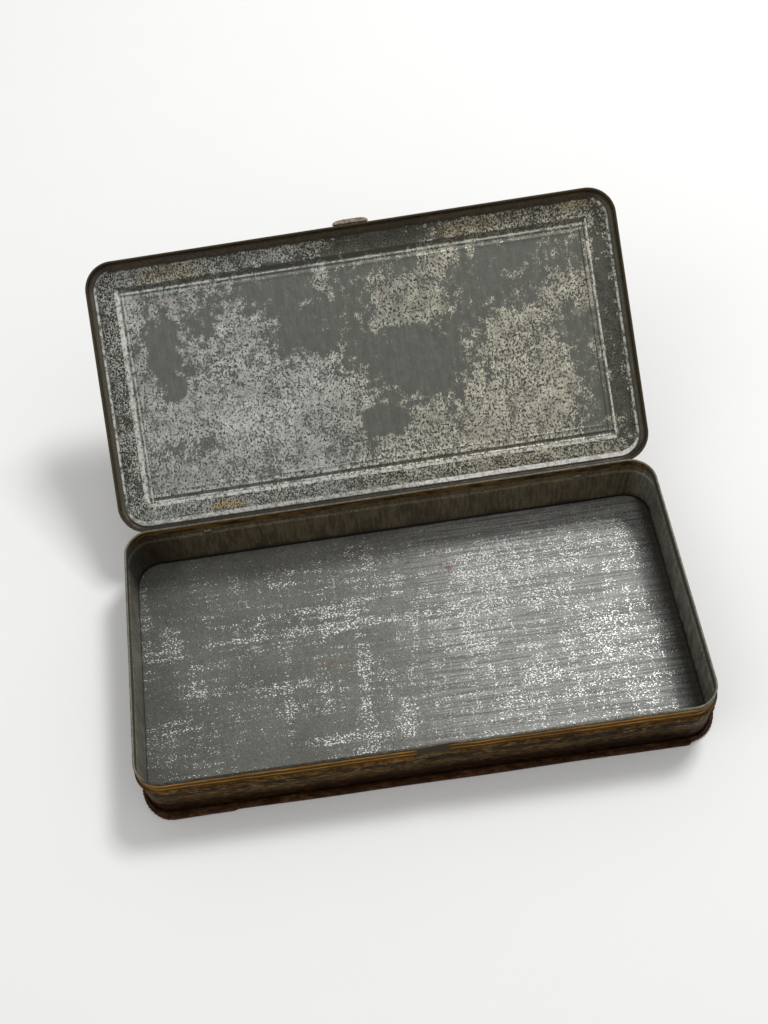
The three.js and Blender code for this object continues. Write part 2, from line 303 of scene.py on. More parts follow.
FRONT = RIM_NORMALS[:, 1] < -0.999
BACK = RIM_NORMALS[:, 1] > 0.999
ALONG_X = RIM_POINTS[:, 0]


def bead_section(out):
    """The bead's section as (out, z, bead share), from its top down, on a face that stands at `out`."""
    steps = 14
    points = []
    for step in range(steps + 1):
        share = step / steps
        lift = 0.5 - 0.5 * math.cos(2 * math.pi * share)
        points.append((out, BEAD_TOP - BEAD_HEIGHT * share, lift))
    return points


def wall_sections():
    """The wall's section as (out, z, bead share, printed): over the rim, down, and back up inside."""
    hem_bottom = RIM_Z - HEM_DEPTH
    roll = arc((-SHEET, RIM_Z - SHEET), SHEET, 180, 0, 10)
    hem_edge = arc((-1.5 * SHEET, hem_bottom + SHEET / 2), SHEET / 2, 270, 180, 4)
    foot_z = SEAM_Z - SHEET
    foot = arc((SHEET, foot_z + 0.1 * MM), 0.4 * MM, 180, 270, 3)
    inside_foot = 0.7 * MM

    def plain(points):
        return [(out, z, 0.0) for out, z in points]

    outer = plain(roll) + bead_section(0.0) + plain([(0.0, foot_z + 0.5 * MM)])
    flange = plain(foot) + plain([(FLANGE_PROUD, foot_z - 0.3 * MM), (FLANGE_PROUD, inside_foot)])
    inner = plain([(-SHEET, inside_foot)]) + bead_section(-SHEET)[::-1] + plain([(-SHEET, hem_bottom)])
    lacquered = fill_in(outer + flange)
    bare = fill_in(inner)
    folded = fill_in(plain(hem_edge + [(-2 * SHEET, RIM_Z - SHEET)]))
    sections = [(*point, 1.0) for point in lacquered]
    sections += [(*point, 0.0) for point in bare]
    sections += [(*point, 1.0) for point in folded]
    return sections


def seam_unevenness():
    """How much further than usual the folded seam stands out, round the outline, and its pleats."""
    angle = np.degrees(np.arctan2(RIM_NORMALS[:, 1], RIM_NORMALS[:, 0]))
    in_corner = 1 - np.abs(np.abs(RIM_NORMALS[:, 0]) - np.abs(RIM_NORMALS[:, 1])) ** 6
    pleats = in_corner * (0.5 + 0.5 * np.cos(np.radians(angle * 4 * 11)))
    left_front = (RIM_NORMALS[:, 0] <= 0) & (RIM_NORMALS[:, 1] < 0) & (ALONG_X < -RIM_X + 31 * MM)
    full_corner = left_front * edge_window(ALONG_X, -2 * RIM_X, -RIM_X + 31 * MM, 0.8 * MM)
    right_front = (RIM_NORMALS[:, 0] > 0.02) & (RIM_NORMALS[:, 1] < -0.02)
    slack_corner = right_front * np.clip(in_corner * 1.6, 0, 1)
    on_left = np.clip(-RIM_NORMALS[:, 0] * 1.4 - 0.4, 0, 1)
    near_front = np.clip((-RIM_POINTS[:, 1] - 15 * MM) / (20 * MM), 0, 1)
    tucked = on_left * near_front
    wander = ripple(RIM_POINTS[:, 0], RIM_POINTS[:, 1], seed=11)
    extra = 0.5 * full_corner - 0.9 * slack_corner - 0.3 * pleats - 1.6 * tucked + 0.12 * wander
    return extra * MM


def base_wall():
    """The hemmed and beaded wall, with the thumb gap in front and the lock seam behind."""
    thumb_gap = FRONT * edge_window(ALONG_X, MARKS_X - THUMB_GAP_HALF, MARKS_X + THUMB_GAP_HALF, 1.5 * MM)
    lock_seam = BACK * edge_window(ALONG_X, -2.5 * MM, 2.5 * MM, 0.3 * MM)
    pinch = FRONT * np.exp(-(((ALONG_X - MARKS_X - 5 * MM) / (5 * MM)) ** 2))
    seam_extra = seam_unevenness()
    sheet = Sheet()
    rings = []
    printed = []
    for out, z, share, value in wall_sections():
        lift = BEAD_PROUD * share * (1 - thumb_gap)
        near_rim = max(0.0, (z - (RIM_Z - 8 * MM)) / (8 * MM))
        on_outer_face = value == 1 and out >= -0.1 * MM and SEAM_Z + 0.3 * MM < z < BEAD_TOP - BEAD_HEIGHT
        seam = 0.5 * MM * lock_seam if on_outer_face else 0.0
        sag = 0.35 * MM * pinch * near_rim
        on_flange = max(0.0, out / FLANGE_PROUD) if z < SEAM_Z else 0.0
        rings.append(rim_ring(out + lift + seam - sag + seam_extra * on_flange, z - sag))
        printed.append(value)
    sheet.add_rings(rings, printed, closed=True)

    def bend(points):
        bent = points.copy()
        height = np.clip(points[:, 2] / RIM_Z, 0, 1)
        middle = np.sin(math.pi * height) * 0.25 * MM
        along = ripple(points[:, 0], points[:, 1], seed=3)
        on_long = np.abs(points[:, 1]) > RIM_Y - 4 * MM
        on_short = np.abs(points[:, 0]) > RIM_X - 4 * MM
        bent[:, 1] += np.where(on_long, middle * along, 0.0)
        bent[:, 0] += np.where(on_short, middle * along, 0.0)
        return bent

    return sheet.finish("wall_shell", "base", "base_wall", "wall_tin", wall_material(), bend=bend)


def bottom_plate():
    """The flat bottom, its edge folded up and back over the wall's flange and pleated round the corners."""
    fold_inner = SEAM_PROUD - 2.1 * MM
    round_edge = 0.5 * MM
    extra = seam_unevenness()
    floor = flat_rings(RIM_X - SHEET, RIM_Y - SHEET, RIM_RADIUS - SHEET, SHEET)[::-1]
    section = [(-SHEET, SHEET), (SEAM_PROUD - SHEET, SHEET), (SEAM_PROUD - SHEET, SEAM_Z - SHEET)]
    section += [(fold_inner, SEAM_Z - SHEET)]
    section += arc((fold_inner + 0.2 * MM, SEAM_Z - 0.2 * MM), 0.2 * MM, 180, 90, 3)
    section += arc((SEAM_PROUD - round_edge, SEAM_Z - round_edge), round_edge, 90, 0, 5)
    section += arc((SEAM_PROUD - round_edge, round_edge), round_edge, 0, -90, 5)
    section += [(-SHEET, 0.0)]
    underside = flat_rings(RIM_X - SHEET, RIM_Y - SHEET, RIM_RADIUS - SHEET, 0.0)
    sheet = Sheet()
    rings = list(floor)
    printed = [0.0] * len(floor)
    for out, z in fill_in(section):
        share = np.clip(out / SEAM_PROUD, 0, 1)
        rings.append(rim_ring(out + extra * share, z))
        printed.append(0.0 if z == SHEET and out <= SEAM_PROUD - SHEET else 1.0)
    rings += underside
    printed += [1.0] * len(underside)
    sheet.add_rings(rings, printed, closed=False)

    def bend(points):
        bent = points.copy()
        inside = np.clip((RIM_Y - np.abs(points[:, 1])) / (12 * MM), 0, 1)
        inside *= np.clip((RIM_X - np.abs(points[:, 0])) / (12 * MM), 0, 1)
        bent[:, 2] += 0.18 * MM * inside * (1 + ripple(points[:, 0], points[:, 1], seed=5))
        return bent

    return sheet.finish("bottom_shell", "base", "bottom_plate", "floor_tin", plate_material(), bend=bend)


# ---- Hinge and tab ------------------------------------------------------------------------------


def band_section(centre_line, thickness):
    """A closed section round a centre line of (y, z) points, with rounded ends."""
    line = np.array(centre_line, float)
    run = np.gradient(line, axis=0)
    run /= np.linalg.norm(run, axis=1)[:, None]
    side = np.column_stack([-run[:, 1], run[:, 0]])
    half = thickness / 2
    left = line + side * half
    right = line - side * half
    nose_start = line[0] - run[0] * half * 0.6
    nose_end = line[-1] + run[-1] * half * 0.6
    return np.vstack([[nose_start], right, [nose_end], left[::-1]])


def dense(points, longest):
    """A centre line with extra points between far neighbours."""
    filled = fill_in([tuple(p) for p in points], longest)
    return [p[:2] for p in filled]


def bent_strip(sheet, centre_line, thickness, low_x, high_x, printed=0.0, steps=None):
    """Adds a bent strip of sheet that runs along X, its two cut edges slightly rounded."""
    section = band_section(centre_line, thickness)
    steps = steps or max(2, round((high_x - low_x) / (2 * MM)))
    stations = [low_x + (high_x - low_x) * k / steps for k in range(steps + 1)]
    stations = [low_x, low_x + 0.08 * MM] + stations[1:-1] + [high_x - 0.08 * MM, high_x]
    thin = band_section(centre_line, thickness * 0.7)
    rings = []
    for index, x in enumerate(stations):
        shape = thin if index in (0, len(stations) - 1) else section
        rings.append([(x, y, z) for y, z in shape])
    sheet.add_strip(rings, printed)


def hinge_lug(name, x, steel):
    """A strap folded round the wire, with its narrow tail clinched down inside the wall."""
    around = arc((HINGE.y, HINGE.z), WRAP_RADIUS, 20, 165, 16)
    leaf_z = HINGE.z - WRAP_RADIUS
    wall_y = RIM_Y
    heel = (HINGE.y + 0.82 * MM, HINGE.z - 1.21 * MM)
    strap = dense([(wall_y + 0.3 * MM, leaf_z), (HINGE.y, leaf_z), heel], 0.25 * MM) + around
    tail_y = wall_y - 2.25 * SHEET
    tail = [(tail_y, leaf_z - 1.8 * MM), (tail_y, leaf_z - 0.25 * MM), (tail_y + 0.25 * MM, leaf_z)]
    tail += [(wall_y + 0.6 * MM, leaf_z)]
    sheet = Sheet()
    bent_strip(sheet, strap, SHEET, x - LUG_HALF, x + LUG_HALF, steps=6)
    bent_strip(sheet, dense(tail, 0.25 * MM), SHEET, x - 1.5 * MM, x + 1.5 * MM, steps=4)
    return sheet.finish(name + "_strap", "base", name, "hinge_steel", steel)


def hinge_wire(steel):
    """The hinge wire, with blunt rounded ends."""
    length = wire_high.x
    ends = [(-length, 0.35), (-length + 0.15 * MM, 0.8), (-length + 0.4 * MM, 1.0)]
    middle = [(x, 1.0) for x in np.linspace(-length + 2 * MM, length - 2 * MM, 80)]
    stations = ends + middle + [(-x, share) for x, share in reversed(ends)]
    rings = []
    for x, share in stations:
        angles = np.linspace(0, 2 * math.pi, 20, endpoint=False)
        radius = WIRE_RADIUS * share
        rings.append([(x, HINGE.y + radius * math.cos(a), HINGE.z + radius * math.sin(a)) for a in angles])
    sheet = Sheet()
    sheet.add_strip(rings, 0.0)
    return sheet.finish("hinge_rod", "lid", "hinge_wire", "hinge_steel", steel, on_lid=True)


def thumb_tab():
    """The thumb tab: a small angle of tin whose lip is rounded at its corners and rolled at its edge."""
    face_y = -RIM_Y - LID_PROUD - 0.3 * MM
    sheet = Sheet()
    rings = []
    half = (tab_high.x - tab_low.x) / 2
    for x in np.linspace(-half, half, 61):
        share = abs(x) / half
        lip = TAB_REACH * (1 - share**4.5) ** 0.5 if share < 1 else 0.0
        lip = max(lip, 0.12 * MM)
        leaf = TAB_LEAF * max(0.15, 1 - (max(0.0, share - 0.8) / 0.2) ** 2)
        corner_z = SKIRT_BOTTOM + SHEET / 2
        line = [(face_y - lip, corner_z - 0.12 * MM), (face_y - lip * 0.92, corner_z - 0.02 * MM)]
        line += [(face_y - lip * share_out, corner_z) for share_out in (0.75, 0.5, 0.3)]
        line += [(face_y - 0.25 * MM, corner_z + 0.08 * MM), (face_y - SHEET / 2, corner_z + 0.35 * MM)]
        line += [(face_y - SHEET / 2, corner_z + leaf * up) for up in (0.3, 0.6, 1.0)]
        rings.append([(MARKS_X + x, y, z) for y, z in band_section(line, SHEET * 0.9)])
    sheet.add_strip(rings, 0.0)
    return sheet.finish("tab_plate", "lid", "thumb_tab", "tab_tin", tab_material(), on_lid=True)


# ---- Lid ----------------------------------------------------------------------------------------


def panel_profile():
    """The raised panel's edge as (inset from its foot, rise), with a fine stamped line inside its slope."""
    top = PANEL_SLOPE
    profile = [(-0.6 * MM, 0.0), (-0.25 * MM, 0.01), (0.0, 0.08), (0.25 * MM, 0.24), (0.9 * MM, 0.62)]
    profile += [(1.2 * MM, 0.72), (1.6 * MM, 0.77)]
    profile += [(top - 0.4 * MM, 0.84), (top - 0.15 * MM, 0.94), (top, 1.0)]
    line = top + 1.3 * MM
    profile += [(line - 0.45 * MM, 1.0), (line - 0.2 * MM, 0.88), (line, 0.76), (line + 0.2 * MM, 0.88)]
    profile += [(line + 0.45 * MM, 1.0), (line + 1.5 * MM, 1.0)]
    return profile


def panel_ring(inset, z):
    radius = max(PANEL_RADIUS - 0.3 * inset, 0.5 * MM)
    points, _ = outline(PANEL_X - inset, PANEL_Y - inset, radius)
    return np.column_stack([points, np.full(len(points), z)])


def between(ring_a, ring_b, count):
    """Rings evenly spaced between two rings."""
    return [ring_a + (ring_b - ring_a) * k / (count + 1) for k in range(1, count + 1)]


def lid_face(level, bend_start):
    """One face of the lid, from the panel's middle out to where the edge starts to bend."""
    profile = panel_profile()
    slope = [panel_ring(inset, level + PANEL_RISE * rise) for inset, rise in profile]
    inset = profile[-1][0]
    middle = flat_rings(PANEL_X - inset, PANEL_Y - inset, 0.5 * MM, level + PANEL_RISE)
    border = between(slope[0], bend_start, 8)
    return middle[::-1] + slope[::-1] + border


def lid_ring(out, z):
    """A ring of the lid's edge, cut away over the lugs."""
    ring = rim_ring(out, z)
    for x in LUG_CENTRES_X:
        over_lug = BACK & (np.abs(ALONG_X - x) < NOTCH_HALF)
        ring[over_lug, 2] = np.maximum(ring[over_lug, 2], NOTCH_TOP)
    return ring


def lid():
    """The lid: panel, rounded edge, hemmed skirt, and the curl along its rear edge."""
    top = LID_TOP
    under = LID_TOP - SHEET
    radius = LID_BEND_RADIUS
    centre = (LID_PROUD - radius, top - radius)
    hem_out = LID_PROUD - 1.5 * SHEET
    hem_top = SKIRT_BOTTOM + LID_HEM_DEPTH
    outer = arc(centre, radius, 90, 0, 8)
    outer += arc((LID_PROUD - SHEET, SKIRT_BOTTOM + SHEET), SHEET, 0, -180, 8)
    outer += arc((hem_out, hem_top - SHEET / 2), SHEET / 2, 180, 90, 3)
    inner = [(LID_PROUD - SHEET, hem_top)]
    inner += arc(centre, radius - SHEET, 0, 90, 8)
    outer_rings = [lid_ring(out, z) for out, z in fill_in(outer)]
    inner_rings = [lid_ring(out, z) for out, z in fill_in(inner)]
    top_face = lid_face(top, outer_rings[0])
    under_face = lid_face(under, inner_rings[-1])
    rings = top_face + outer_rings + inner_rings + under_face[::-1]
    printed = [1.0] * (len(top_face) + len(outer_rings)) + [0.0] * (len(inner_rings) + len(under_face))
    sheet = Sheet()
    sheet.add_rings(rings, printed, closed=False)
    curl = arc((HINGE.y, HINGE.z), WRAP_RADIUS, 180, 480, 34)
    ends = [-CURL_HALF_LENGTH] + sorted(NOTCH_EDGES) + [CURL_HALF_LENGTH]
    for low_x, high_x in zip(ends[::2], ends[1::2]):
        bent_strip(sheet, curl, SHEET, low_x, high_x, printed=1.0)

    def bend(points):
        bent = points.copy()
        inside = np.clip((RIM_Y - np.abs(points[:, 1])) / (14 * MM), 0, 1)
        inside *= np.clip((RIM_X - np.abs(points[:, 0])) / (14 * MM), 0, 1)
        bent[:, 2] += 0.3 * MM * inside * ripple(points[:, 0], points[:, 1], seed=8)
        return bent

    return sheet.finish("lid_shell", "lid", "lid", "lid_tin", lid_material(), on_lid=True, bend=bend)


# ---- Materials ----------------------------------------------------------------------------------

SIDE = RIM_X / MM  # the rim's half length and half depth in millimetres, as "place" has them
REAR = RIM_Y / MM


def tone(red, green, blue):
    """A linear colour from screen values of 0 to 255."""
    def linear(value):
        share = value / 255
        return share / 12.92 if share <= 0.04045 else ((share + 0.055) / 1.055) ** 2.4

    return (linear(red), linear(green), linear(blue), 1.0)


class Value:
    """A number, vector or colour that a node gives, so that a material reads as plain arithmetic."""

    def __init__(self, shader, socket):
        self.shader = shader
        self.socket = socket

    def __add__(self, other):
        return self.shader.math("ADD", self, other)

    def __mul__(self, other):
        return self.shader.math("MULTIPLY", self, other)

    def __sub__(self, other):
        return self.shader.math("SUBTRACT", self, other)

    def __rsub__(self, other):
        return self.shader.math("SUBTRACT", other, self)

    def __abs__(self):
        return self.shader.math("ABSOLUTE", self, 0.0)

    __radd__ = __add__
    __rmul__ = __mul__

    def at_least(self, other):
        return self.shader.math("MAXIMUM", self, other)

    def at_most(self, other):
        return self.shader.math("MINIMUM", self, other)

    def step(self, low, high, to_low=0.0, to_high=1.0):
        """A smooth step from to_low to to_high as the value goes from low to high."""
        sources = {"Value": self, "From Min": low, "From Max": high, "To Min": to_low, "To Max": to_high}
        return self.shader.wired("ShaderNodeMapRange", sources, interpolation_type="SMOOTHSTEP")

    def window(self, low, high, soft):
        """1 between low and high, with soft sides."""
        return self.step(low - soft, low + soft) * (self - high).step(-soft, soft, 1.0, 0.0)


class Shader:
    """A material's node tree, with short calls for the few nodes that the tin needs."""

    def __init__(self, name):
        self.material = bpy.data.materials.new(name)
        self.material.use_nodes = True
        self.tree = self.material.node_tree
        self.tree.nodes.clear()
        self.place = self.wired("ShaderNodeAttribute", {}, "Vector", attribute_name="place")
        self.printed = self.wired("ShaderNodeAttribute", {}, "Fac", attribute_name="printed")
        axes = [self.wired("ShaderNodeSeparateXYZ", {0: self.place}, axis) for axis in "XYZ"]
        self.x, self.y, self.z = axes

    def node(self, kind, **settings):
        made = self.tree.nodes.new(kind)
        for key, value in settings.items():
            setattr(made, key, value)
        return made

    def plug(self, socket, source):
        if isinstance(source, Value):
            self.tree.links.new(source.socket, socket)
        else:
            socket.default_value = source

    def wired(self, kind, sources, output=0, **settings):
        """Makes a node, plugs in its sources by the name or number of their sockets, and gives one output."""
        made = self.node(kind, **settings)
        for socket, source in sources.items():
            self.plug(made.inputs[socket], source)
        return Value(self, made.outputs[output])

    def math(self, operation, a, b):
        return self.wired("ShaderNodeMath", {0: a, 1: b}, operation=operation)

    def vector(self, operation, *values):
        output = "Value" if operation == "LENGTH" else "Vector"
        return self.wired("ShaderNodeVectorMath", dict(enumerate(values)), output, operation=operation)

    def noise(self, size, detail=2.0, roughness=0.55, stretch=(1.0, 1.0, 1.0), offset=0.0):
        """Noise with blotches of about `size` millimetres, longer along an axis with a small stretch."""
        scale = tuple(share / size for share in stretch)
        mapping = {"Vector": self.place, "Scale": scale, "Location": (offset, offset, offset)}
        place = self.wired("ShaderNodeMapping", mapping)
        sources = {"Vector": place, "Scale": 1.0, "Detail": detail, "Roughness": roughness}
        return self.wired("ShaderNodeTexNoise", sources)

    def mix(self, share, a, b):
        """A colour that goes from a to b."""
        return self.wired("ShaderNodeMix", {0: share, 6: a, 7: b}, 2, data_type="RGBA")

    def blend(self, share, a, b):
        """A number that goes from a to b."""
        return self.wired("ShaderNodeMix", {0: share, 2: a, 3: b}, data_type="FLOAT")

    def shade(self, color, factor):
        """The colour made lighter or darker by a factor."""
        color = color[:3] if isinstance(color, tuple) else color
        return self.wired("ShaderNodeVectorMath", {0: color, "Scale": factor}, operation="SCALE")

    def ramp(self, value, stops):
        """A colour ramp from (position, colour) stops."""
        made = self.node("ShaderNodeValToRGB")
        self.plug(made.inputs[0], value)
        elements = made.color_ramp.elements
        while len(elements) > 1:
            elements.remove(elements[-1])
        elements[0].position, elements[0].color = stops[0]
        for position, color in stops[1:]:
            elements.new(position).color = color
        return Value(self, made.outputs[0])

    def spots(self, places, ragged, soft=(0.7, 1.25)):
        """The sum of soft ovals, each (x, y, half width, half height, strength), in millimetres."""
        total = 0.0
        for x, y, half_x, half_y, strength in places:
            per_half = (1 / half_x, 1 / half_y, 0.0)
            middle = (-x / half_x, -y / half_y, 0.0)
            reach = self.vector("LENGTH", self.vector("MULTIPLY_ADD", self.place, per_half, middle))
            total += (reach + ragged).step(*soft, strength, 0.0)
        return total

    def inset(self, proud=0.0):
        """Millimetres in from the rim's outline moved out by `proud`, as far in as its corners' radius."""
        flat = self.vector("MULTIPLY", self.vector("ABSOLUTE", self.place), (1.0, 1.0, 0.0))
        corner = ((RIM_X - RIM_RADIUS) / MM, (RIM_Y - RIM_RADIUS) / MM, 0.0)
        past = self.vector("MAXIMUM", self.vector("SUBTRACT", flat, corner), (0.0, 0.0, 0.0))
        return (RIM_RADIUS + proud) / MM - self.vector("LENGTH", past)

    def finish(self, color, metallic, roughness, height, relief):
        """Makes the surface. The height, from 0 to 1, is worth `relief` metres."""
        sources = {
            "Base Color": color,
            "Metallic": metallic,
            "Roughness": roughness,
            "Normal": self.wired("ShaderNodeBump", {"Distance": relief, "Height": height}),
            "Specular IOR Level": self.blend(self.printed, 0.4, 0.06),
        }
        output = self.node("ShaderNodeOutputMaterial")
        self.plug(output.inputs["Surface"], self.wired("ShaderNodeBsdfPrincipled", sources, "BSDF"))
        return self.material


TARNISH = tone(103, 103, 97)
BRIGHT_TIN = tone(222, 222, 212)
BLACK_SPECK = tone(50, 46, 38)
# Dark brown: dirt on the lid's border, painted shade and shadow on the floor, and the darker band low on the
# wall inside.
GRIME_AND_SHADE = tone(52, 46, 34)
RUST = tone(98, 50, 24)
GOLD_SPECK = tone(186, 168, 120)
UMBER = tone(60, 43, 22)
PALE_UMBER = tone(80, 61, 34)
DARK_UMBER = tone(30, 18, 6)
MAROON = tone(38, 22, 8)
OCHRE = tone(152, 109, 42)
GOLD_BROWN = tone(94, 68, 28)
OCHRE_SHADE = tone(76, 50, 13)
BARE_EDGE = tone(124, 121, 110)


def lacquer(shader, color, flecked, contrast, stretch):
    """Worn lacquer over a base colour: fibrous dark scuffs, pale rubbed flecks and maroon stains."""
    fibres = shader.noise(1.1, 4.0, 0.7, stretch, offset=9.0)
    patches = shader.noise(5.0, 4.0, 0.7, stretch, offset=3.0)
    scuffed = shader.shade(color, fibres.step(0.36, 0.64, 1.0 - contrast, 1.0 + contrast))
    scuffed = shader.shade(scuffed, patches.step(0.35, 0.65, 0.75, 1.25))
    flecks = (fibres + patches * 0.6).step(0.87, 0.96)
    worn = shader.mix(flecks * flecked, scuffed, tone(124, 104, 72))
    stains = shader.noise(6.0, 5.0, 0.7, offset=5.0).step(0.52, 0.66)
    return shader.mix(stains * 0.6, worn, MAROON), fibres


# The print on the outside of the wall: height above the table in millimetres, colour.
LOWER_BANDS = [
    (0.0, MAROON), (6.5, MAROON), (8.5, UMBER), (11.5, PALE_UMBER), (14.0, UMBER), (15.5, DARK_UMBER),
    (16.5, DARK_UMBER), (17.3, PALE_UMBER), (18.4, PALE_UMBER), (19.6, GOLD_BROWN),
]
GOLD_BANDS = [
    (20.9, OCHRE_SHADE), (21.2, OCHRE), (21.6, OCHRE), (22.0, OCHRE_SHADE), (23.4, OCHRE_SHADE),
    (23.7, OCHRE), (24.8, OCHRE), (25.0, DARK_UMBER),
]


def banded(shader, height, bands):
    stops = [(z * MM / RIM_Z, color) for z, color in bands]
    return shader.ramp(height * (MM / RIM_Z), stops)


def front_face(shader):
    return shader.y.step(4.75 - REAR, 1.75 - REAR)


def wall_print(shader):
    """The wall's print: a scuffed umber field with a maroon foot, and gold lines worn off in places."""
    ragged = shader.noise(1.8, 4.0, 0.75, stretch=(0.5, 0.5, 1.0)).step(0.3, 0.7, -1.9, 1.9)
    bands = banded(shader, shader.z + ragged, LOWER_BANDS)
    bands = shader.shade(bands, shader.x.step(-20.0, 70.0, 1.05, 0.8))
    flecked = shader.z.window(13.0, 18.5, 2.0)
    field, fibres = lacquer(shader, bands, flecked, 0.65, (0.3, 0.3, 1.0))
    wobble = shader.noise(12.0, 3.0, offset=2.0).step(0.3, 0.7, -0.25, 0.25)
    wear = shader.noise(1.0, 4.0, 0.7, stretch=(0.2, 0.2, 1.6))
    fading = shader.noise(22.0, 3.0, 0.6, offset=14.0)
    gold = banded(shader, shader.z + wobble, GOLD_BANDS)
    gold = shader.shade(gold, wear.step(0.32, 0.68, 0.5, 1.3))
    gold = shader.shade(gold, fading.step(0.35, 0.65, 0.7, 1.15))
    # The gold is dulled to dark brown in the thumb gap and on the side faces.
    gap = shader.x.window(GAP_EDGES[0] / MM, GAP_EDGES[1] / MM, 1.2)
    sides = abs(shader.x).step(SIDE - 4.0, SIDE - 0.4, 0.0, 0.8)
    gold_dulled = (gap * front_face(shader)).at_least(sides)
    gold = shader.mix(gold_dulled, gold, tone(56, 48, 33))
    on_gold = (shader.z + ragged * 0.45).step(19.5, 19.9)
    return shader.mix(on_gold, field, gold), fibres


def hem_color(shader):
    """The narrow face of the hem inside the rim: worn brown gold along the back, dull grey elsewhere."""
    wear = shader.noise(3.0, 5.0, 0.75, stretch=(0.4, 1.0, 1.6), offset=71.0)
    gold = shader.mix(wear.step(0.4, 0.6), tone(48, 34, 14), tone(104, 76, 32))
    back = shader.y.step(44.0, 48.0)
    return shader.mix(back, tone(74, 70, 60), gold)


def wall_inside(shader, streaks):
    """Streaky tarnish, browner along the back, with painted shade darkest at the rear left corner, and darker
    along the foot.
    """
    blotches = shader.noise(9.0, 4.0, 0.6, offset=7.0)
    grain = shader.noise(0.6, 2.0, 0.7, offset=1.0)
    side = abs(shader.x).step(SIDE - 6.0, SIDE - 1.0)
    tin = shader.mix(side, tone(110, 100, 78), tone(128, 124, 113))
    tin = shader.shade(tin, (streaks + blotches * 0.4).step(0.55, 0.85, 0.6, 1.25))
    tin = shader.shade(tin, grain.step(0.38, 0.62, 0.82, 1.18))
    # Painted shade in the rear left corner.
    rear_left_painted_shading = shader.x.step(-94.0, -70.0, 0.65, 0.0) * shader.y.step(30.0, 46.0)
    tin = shader.mix(rear_left_painted_shading, tin, tone(30, 24, 15))
    # Darker towards the foot, in blotches.
    low = (shader.z + blotches * 6.0).step(4.0, 7.5, 0.7, 0.0)
    tin = shader.mix(low, tin, GRIME_AND_SHADE)
    foot = shader.z.step(1.4, 2.6, 0.95, 0.0)
    return shader.mix(foot, tin, tone(24, 19, 13))


def wall_material():
    """Printed bands outside, and bare tin inside and along the rim."""
    shader = Shader("wall_tinplate")
    outside, fibres = wall_print(shader)
    outside = shader.mix(shader.inset().step(0.5, 0.7), outside, hem_color(shader))
    rim = shader.z.step(RIM_Z / MM - 0.6, RIM_Z / MM - 0.4)
    browned = front_face(shader) * shader.x.step(-40.0, 30.0, 0.6, 0.0)
    rim_wear = shader.noise(1.6, 3.0, 0.7, offset=50.0).step(0.35, 0.65, 0.55, 1.0) * (1.0 - browned)
    outside = shader.mix(rim * rim_wear, outside, BARE_EDGE)
    streaks = shader.noise(1.0, 3.0, 0.65, stretch=(1.0, 1.0, 0.12), offset=2.0)
    color = shader.mix(shader.printed, wall_inside(shader, streaks), outside)
    metallic = shader.blend(shader.printed, 0.6, rim * 0.7)
    roughness = shader.blend(shader.printed, streaks.step(0.3, 0.7, 0.45, 0.62), 0.55)
    relief = shader.blend(shader.printed, streaks * 0.5, fibres)
    return shader.finish(color, metallic, roughness, relief, 0.05 * MM)


# Groups of bright rubbed specks and spots of rust on the floor: x, y, half width, half height, strength.
FLOOR_RUBS = [
    (-90, 12, 8, 6, 0.10), (-72, 12, 8, 1.5, 0.08), (-57, 12, 9, 1.5, 0.13), (-22, 12, 27, 2.5, 0.12),
    (-56, 18, 9, 3, 0.08), (-25, 19, 18, 4, 0.08), (-17, -3, 3, 12, 0.09), (-47, -10, 9, 3, 0.10),
    (-47, -18, 6, 4, 0.08), (-32, -16, 3, 7, 0.07), (-27, -33, 19, 1.8, 0.12), (-19, -30, 4, 10, 0.10),
    (-5, -28, 4, 8, 0.09), (-12, 44, 7, 4, 0.10), (36, 28, 13, 12, 0.09), (30, 12, 20, 5, 0.07),
    (61, 27, 6, 7, 0.06), (27, -2, 12, 4, 0.05), (47, -19, 9, 4, 0.09), (72, -8, 18, 10, 0.05),
    (-88, -20, 9, 3, 0.07), (70, -26, 14, 5, 0.05), (-80, -3, 4, 9, 0.06), (-30, 34, 22, 7, 0.03),
]
FLOOR_RUST = [
    (20, 30, 1.3, 1.6, 0.6), (5, 35, 1.0, 1.0, 0.4), (-29, -3, 3.5, 2.0, 0.25), (17, 40, 1.0, 1.2, 0.5),
]


def floor_specks(shader, ragged, right):
    """Bright rubbed specks, in rows and columns and in the groups of FLOOR_RUBS, more of them to the right in
    the painted reflection there.
    """
    rows = shader.noise(2.0, 3.0, 0.6, stretch=(0.12, 1.0, 1.0), offset=6.0)
    columns = shader.noise(4.0, 3.0, 0.6, stretch=(1.0, 0.2, 1.0), offset=16.0)
    density = right * 0.06 + rows.step(0.35, 0.65, -0.06, 0.07) + columns.step(0.35, 0.65, -0.05, 0.05)
    density += shader.y.step(38.0, 48.0, 0.0, -0.06) + shader.spots(FLOOR_RUBS, ragged)
    fine = shader.noise(0.5, 2.0, 0.6, stretch=(0.75, 1.0, 1.0))
    return (fine + density.at_most(0.13)).step(0.66, 0.73)


def floor_painted_light_and_shade(shader, inside, ragged):
    """Painted light along the back of the floor, most at the left, then painted shade at the very back and a
    painted shadow beside the right wall.
    """
    # Painted light: the floor is lightened where it lies in the shade of the back wall and the lid.
    rear_left_painted_shading = shader.x.step(-50.0, 0.0, 0.35, 0.0) * shader.y.step(38.0, 44.0)
    inside = shader.shade(inside, shader.y.step(38.0, 46.0, 1.0, 1.4) + rear_left_painted_shading)
    # Painted shade along the back wall, and the painted shadow of the right wall.
    rear_painted_shade = (shader.y + ragged * 6.0).step(46.0, 54.0, 0.0, 0.4)
    right_painted_shadow = shader.x.step(93.0, 98.0, 0.0, 0.85)
    return shader.mix(rear_painted_shade.at_least(right_painted_shadow), inside, GRIME_AND_SHADE)


